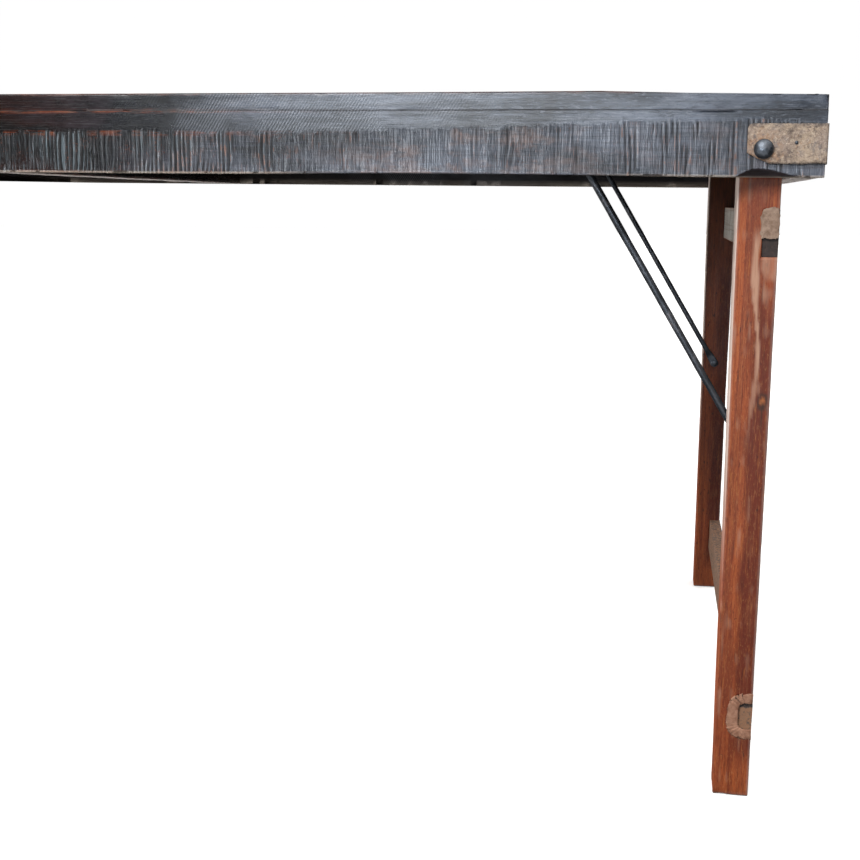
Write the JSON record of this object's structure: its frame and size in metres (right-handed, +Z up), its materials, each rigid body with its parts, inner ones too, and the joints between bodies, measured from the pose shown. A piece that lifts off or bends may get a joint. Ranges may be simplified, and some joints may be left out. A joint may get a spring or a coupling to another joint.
{
  "type": "folding table",
  "caption": "Long planked trestle table on a railed frame, with wooden leg frames that fold up under it and iron stays that catch under the top.",
  "frame": {"origin": "on the floor, under the middle of the top", "axes": "+X along the table to the pictured near end, +Y across it to the rear, +Z up"},
  "size_m": [1.833, 0.9306, 0.765],
  "materials": {
    "top_wood": "worn charcoal paint",
    "leg_wood": "oiled red-brown wood",
    "stretcher_wood": "weathered grey wood",
    "strap_iron": "stained and rusty",
    "iron": "dark forged iron"
  },
  "bodies": {
    "table_top": {"top_plank_1": "top_wood", "top_plank_2": "top_wood", "top_plank_3": "top_wood", "top_plank_4": "top_wood", "top_plank_5": "top_wood", "top_plank_6": "top_wood", "front_apron": "top_wood", "rear_apron": "top_wood", "right_end_rail": "top_wood", "left_end_rail": "top_wood", "centre_rail": "top_wood", "right_catch_batten": "top_wood", "left_catch_batten": "top_wood", "right_front_catch_hook": "iron", "right_rear_catch_hook": "iron", "left_front_catch_hook": "iron", "left_rear_catch_hook": "iron", "front_right_corner_strap": "strap_iron", "rear_right_corner_strap": "strap_iron", "front_left_corner_strap": "strap_iron", "rear_left_corner_strap": "strap_iron", "front_right_strap_nail": "iron", "rear_right_strap_nail": "iron", "front_left_strap_nail": "iron", "rear_left_strap_nail": "iron", "front_right_pivot_bolt": "iron", "front_right_spacer_washer": "iron", "front_right_nut_washer": "iron", "front_right_pivot_nut": "iron", "rear_right_pivot_bolt": "iron", "rear_right_spacer_washer": "iron", "rear_right_nut_washer": "iron", "rear_right_pivot_nut": "iron", "front_left_pivot_bolt": "iron", "front_left_spacer_washer": "iron", "front_left_nut_washer": "iron", "front_left_pivot_nut": "iron", "rear_left_pivot_bolt": "iron", "rear_left_spacer_washer": "iron", "rear_left_nut_washer": "iron", "rear_left_pivot_nut": "iron"},
    "right_leg_frame": {"right_front_leg": "leg_wood", "right_front_stay_screw": "iron", "right_rear_leg": "leg_wood", "right_rear_stay_screw": "iron", "right_upper_stretcher": "stretcher_wood", "right_lower_stretcher": "stretcher_wood"},
    "right_brace": {"right_front_stay": "iron", "right_rear_stay": "iron", "right_cross_rod": "iron"},
    "left_leg_frame": {"left_front_leg": "leg_wood", "left_front_stay_screw": "iron", "left_rear_leg": "leg_wood", "left_rear_stay_screw": "iron", "left_upper_stretcher": "stretcher_wood", "left_lower_stretcher": "stretcher_wood"},
    "left_brace": {"left_front_stay": "iron", "left_rear_stay": "iron", "left_cross_rod": "iron"}
  },
  "joints": [
    {"name": "right_leg_fold", "type": "hinge", "parent": "table_top", "child": "right_leg_frame", "pos_m": [0.854, 0, 0.707], "axis": [0, 1, 0], "range_deg": [0, 90]},
    {"name": "right_brace_swing", "type": "hinge", "parent": "right_leg_frame", "child": "right_brace", "pos_m": [0.854, 0, 0.39], "axis": [0, -1, 0], "range_deg": [0, 148]},
    {"name": "left_leg_fold", "type": "hinge", "parent": "table_top", "child": "left_leg_frame", "pos_m": [-0.854, 0, 0.707], "axis": [0, -1, 0], "range_deg": [0, 90]},
    {"name": "left_brace_swing", "type": "hinge", "parent": "left_leg_frame", "child": "left_brace", "pos_m": [-0.854, 0, 0.39], "axis": [0, 1, 0], "range_deg": [0, 148]}
  ],
  "couplings": [
    {"joint": "right_brace_swing", "follows": "right_leg_fold", "ratio": 1.64},
    {"joint": "left_brace_swing", "follows": "left_leg_fold", "ratio": 1.64}
  ]
}
